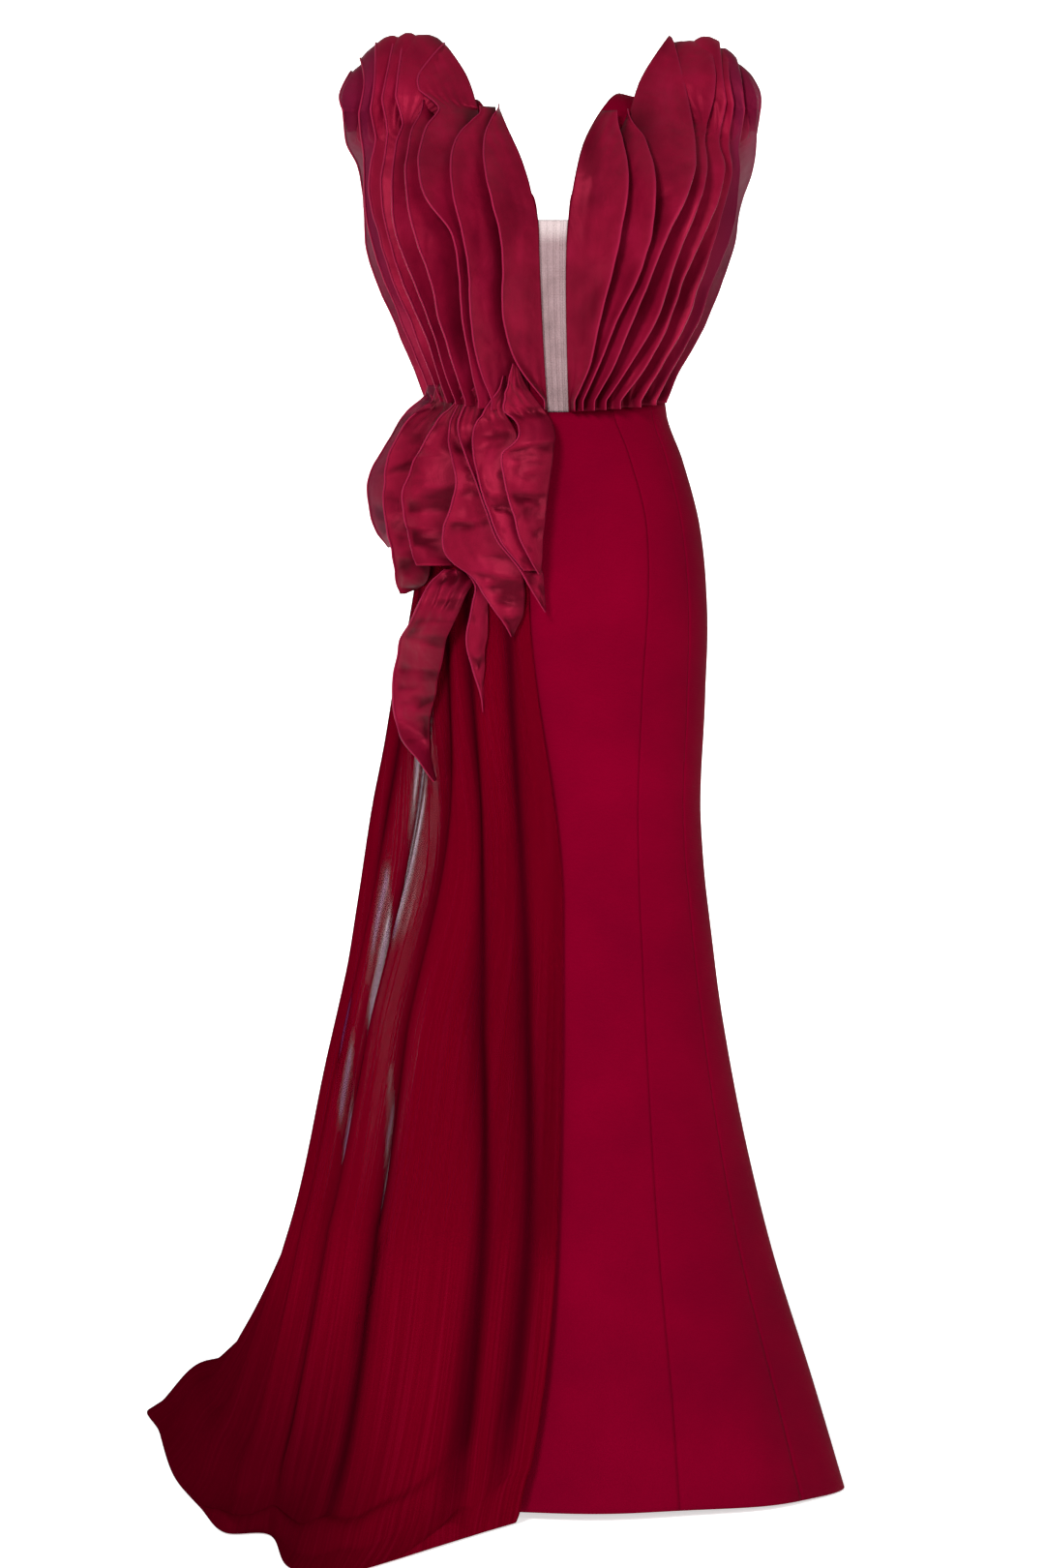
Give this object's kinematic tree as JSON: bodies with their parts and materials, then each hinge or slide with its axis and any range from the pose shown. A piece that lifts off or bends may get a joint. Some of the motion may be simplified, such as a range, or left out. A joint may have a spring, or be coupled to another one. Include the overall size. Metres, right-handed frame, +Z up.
{
  "type": "ruffled evening dress",
  "caption": "Floor-length gown with frilled organza bodice and shoulders, nude mesh neck insert, hip cascade, flared crepe skirt and a tulle overlay with a train.",
  "frame": {"origin": "middle of the wearer's shoulders, 1.5 m above the floor that the hem and train lie on", "axes": "+Z up, the front faces -Y, the wearer's left is +X"},
  "size_m": [0.7941, 0.9432, 1.5677],
  "materials": {
    "crepe": "smooth matte crepe",
    "organza": "satin organza, soft sheen",
    "tulle": "sheer fine tulle",
    "nude_mesh": "fine ribbed power mesh"
  },
  "bodies": {
    "root": {"skirt_front_centre": "crepe", "skirt_front_side_l": "crepe", "skirt_front_side_r": "crepe", "skirt_side_l": "crepe", "skirt_side_r": "crepe", "skirt_back_l": "crepe", "skirt_back_r": "crepe", "bodice_front_r": "crepe", "bodice_back_r": "crepe", "bodice_front_l": "crepe", "bodice_back_l": "crepe", "nude_mesh_insert": "nude_mesh", "bodice_frill_r1": "organza", "bodice_frill_r2": "organza", "bodice_frill_r3": "organza", "bodice_frill_r4": "organza", "bodice_frill_r5": "organza", "bodice_frill_r6": "organza", "bodice_frill_r7": "organza", "bodice_frill_r8": "organza", "bodice_frill_r9": "organza", "bodice_frill_l1": "organza", "bodice_frill_l2": "organza", "bodice_frill_l3": "organza", "bodice_frill_l4": "organza", "bodice_frill_l5": "organza", "bodice_frill_l6": "organza", "bodice_frill_l7": "organza", "bodice_frill_l8": "organza", "shoulder_petal_r1": "organza", "shoulder_petal_r2": "organza", "shoulder_petal_r3": "organza", "shoulder_petal_r4": "organza", "shoulder_petal_r5": "organza", "shoulder_petal_r6": "organza", "shoulder_petal_l1": "organza", "shoulder_petal_l2": "organza", "shoulder_petal_l3": "organza", "shoulder_petal_l4": "organza", "shoulder_petal_l5": "organza", "shoulder_petal_l6": "organza", "cascade_leaf_1": "organza", "cascade_leaf_2": "organza", "cascade_leaf_3": "organza", "cascade_leaf_4": "organza", "cascade_leaf_5": "organza", "cascade_leaf_6": "organza", "cascade_leaf_7": "organza", "cascade_leaf_8": "organza", "cascade_leaf_9": "organza", "tulle_overlay": "tulle"}
  },
  "joints": []
}
